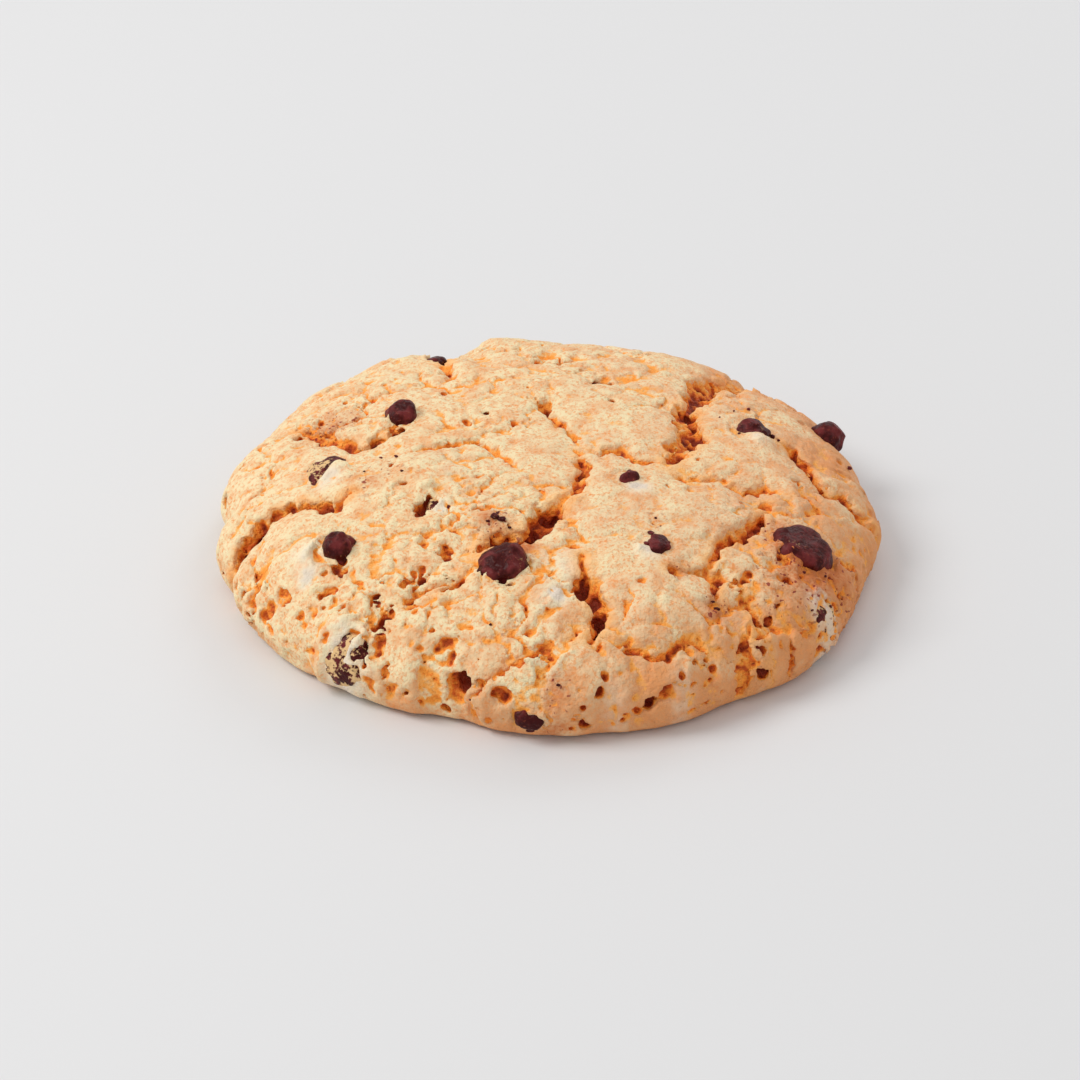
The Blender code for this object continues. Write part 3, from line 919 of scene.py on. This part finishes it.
# a chip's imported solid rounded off, then dented as if it had melted and set
def makeChip(number):
    node = f"chip_{number:02d}"
    welded = bmesh.new()
    welded.from_mesh(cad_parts[node].data)
    bmesh.ops.remove_doubles(welded, verts=welded.verts, dist=0.00001)
    base = bpy.data.meshes.new("chipBase")
    welded.to_mesh(base)
    welded.free()
    rough = bpy.data.objects.new("roughChip", base)
    bpy.context.collection.objects.link(rough)
    rough.modifiers.new("round", "SUBSURF").levels = chipShape["rounds"]
    graph = bpy.context.evaluated_depsgraph_get()
    mesh = bpy.data.meshes.new_from_object(rough.evaluated_get(graph))
    bpy.data.objects.remove(rough)
    spots = spotsOf(mesh)
    middle = spots.mean(0)
    outward = spots - middle
    outward /= np.linalg.norm(outward, axis=1, keepdims=True)
    dent = chipShape["dent"] * roughNoise(spots, chipShape["dentSize"], 2, number)
    dent += chipShape["facet"] * (0.5 - grainsAt(spots, chipShape["facetSize"], number)[0])
    ripple = chipShape["ripple"] * noiseAt(spots, chipShape["rippleSize"], number)
    stretch = chipStretch.get(number, (1, 1, 1))
    relief = outward * (dent + ripple)[:, None]
    spots = middle + (spots - middle) * chipShape["grow"] * stretch + relief
    inward = -Vector((middle[0], middle[1], chipShape["pushDepth"])).normalized()
    proud = np.percentile(roundDistance(spots), 98) - chipsAbove[number]
    spots += np.array(inward, np.float32) * np.float32(max(0.6 * proud, 0))
    proud = roundDistance(spots) - chipsAbove[number]
    spots -= outward * (np.maximum(proud, 0) * 0.8)[:, None]
    mesh.vertices.foreach_set("co", (spots * mm).ravel())
    mesh.shade_smooth()
    finish = dustyFinish if number in chipShape["dusty"] else chocolateFinish
    addPiece(f"chocolateChip{number:02d}", mesh, finish, [node])


for number in chipsAbove:
    makeChip(number)
report("chips")

# Broken bits of chocolate: x, y, size. The first two sit in the dark holes under the upper-left ledge,
# where they are partly chocolate and partly painted shade of the holes
bits = [
    (-31.2, 4.2, 1.5), (-27.6, 5.3, 1.7), (-8.6, -21.4, 1.0), (-7.4, -21.9, 0.9), (-9.6, -22.4, 0.6),
    (-8.0, -20.3, 0.5), (-6.2, -23.2, 0.5), (16.5, -21.5, 0.5), (17.2, -23.2, 0.35),
    (15.6, -25.2, 0.8), (18.2, -27.2, 0.9), (14.9, -28.0, 0.8), (49.5, 8.8, 0.9), (25.4, -38.6, 0.8),
    (24.9, -37.8, 0.5), (-27.0, -3.4, 0.5), (-24.5, -4.0, 0.5), (-23.4, -9.4, 0.6),
    (-29.5, -7.0, 0.35), (36.5, 7.6, 0.8), (37.4, 6.6, 0.5), (31.0, 7.0, 0.6), (30.5, 14.5, 0.4),
    (33.0, 16.5, 0.45), (28.0, 11.5, 0.35), (39.5, -27.0, 0.6), (43.0, -25.5, 0.5),
    (40.5, -33.2, 0.5), (43.6, -30.0, 0.6), (1.2, -53.2, 0.5), (-9.0, -44.0, 0.5), (-4.9, -29.0, 0.6),
    (-12.0, -52.0, 0.4), (36.2, -31.0, 0.4),
]

bitShape = {"roughness": 0.45, "flatness": 0.6, "sink": 0.05, "seed": 34}


# bits lie on the dough: small rough balls sunk into the surface, all in one mesh
def makeBits():
    dice = np.random.default_rng(bitShape["seed"])
    whole = bmesh.new()
    for x, y, size in bits:
        near = np.argsort(np.hypot(doughSpots[:, 0] - x, doughSpots[:, 1] - y))[:9]
        height = doughSpots[near, 2].max()
        ball = bmesh.new()
        bmesh.ops.create_icosphere(ball, subdivisions=3, radius=0.5 * size)
        spots = np.array([point.co for point in ball.verts], np.float32)
        noise = roughNoise(spots, 0.6 * size + 0.1, 2, x + y)[:, None]
        spots *= 1 + bitShape["roughness"] * noise
        spots *= dice.uniform(0.7, 1.3, 3) * (1, 1, bitShape["flatness"])
        middle = Vector((x, y, height - bitShape["sink"] * size))
        for point, spot in zip(ball.verts, spots):
            point.co = (Vector(spot) + middle) * mm
        part = bpy.data.meshes.new("bit")
        ball.to_mesh(part)
        ball.free()
        whole.from_mesh(part)
        bpy.data.meshes.remove(part)
    mesh = bpy.data.meshes.new("chocolateBitsAndHoleShade")
    whole.to_mesh(mesh)
    whole.free()
    mesh.shade_smooth()
    addPiece("chocolateBitsAndHoleShade", mesh, chocolateFinish, [])


makeBits()
report("bits")


# the floor is a large pale sheet a little below the cookie
def addFloor():
    mesh = bpy.data.meshes.new("floor")
    mesh.from_pydata([(-3, -3, 0), (3, -3, 0), (3, 3, 0), (-3, 3, 0)], [], [(0, 1, 2, 3)])
    floor = bpy.data.objects.new("floor", mesh)
    floor.location.z = -0.0002
    bpy.context.collection.objects.link(floor)
    made = Finish("paleFloor")
    mesh.materials.append(made.shade({"Base Color": paint(222, 222, 223), "Roughness": 0.7}))


# a soft round lamp that points at the middle: place and size in metres, power in watts
def addLamp(name, place, size, power, colour=(1, 1, 1)):
    lamp = bpy.data.lights.new(name, "AREA")
    lamp.shape = "DISK"
    lamp.size = size
    lamp.energy = power
    lamp.color = colour
    made = bpy.data.objects.new(name, lamp)
    made.location = place
    made.rotation_euler = (-Vector(place)).to_track_quat("-Z", "Y").to_euler()
    bpy.context.collection.objects.link(made)


# metres from the middle, degrees above the floor, shift in metres, lens in mm
view = {"distance": 0.55, "height": 31.5, "right": -0.00149, "up": 0.0022, "lens": 111.65}


def addCamera():
    lens = bpy.data.cameras.new("camera")
    lens.lens = view["lens"]
    lens.sensor_width = 36.0
    lens.clip_start = 0.01
    camera = bpy.data.objects.new("camera", lens)
    rise = math.radians(view["height"])
    turn = Matrix.Rotation(math.radians(90) - rise, 4, "X")
    place = Vector((0, -math.cos(rise), math.sin(rise))) * view["distance"]
    aside = Matrix.Translation((view["right"], view["up"], 0))
    camera.matrix_world = Matrix.Translation(place) @ turn @ aside
    bpy.context.collection.objects.link(camera)
    bpy.context.scene.camera = camera


# even light from all round
def addSky(strength, colour):
    world = bpy.data.worlds.new("studio")
    world.use_nodes = True
    world.node_tree.nodes["Background"].inputs["Color"].default_value = (*colour, 1)
    world.node_tree.nodes["Background"].inputs["Strength"].default_value = strength
    bpy.context.scene.world = world


addFloor()
addLamp("keyLamp", (-0.8, -0.06, 0.85), 0.6, 6.7, (1.0, 0.99, 0.97))
addLamp("sideLamp", (0.4, 0.8, 0.6), 0.4, 1.3)
addSky(0.66, (1.0, 1.0, 1.0))
addCamera()
bpy.context.scene.view_settings.view_transform = "Standard"

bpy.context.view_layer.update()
report("done")
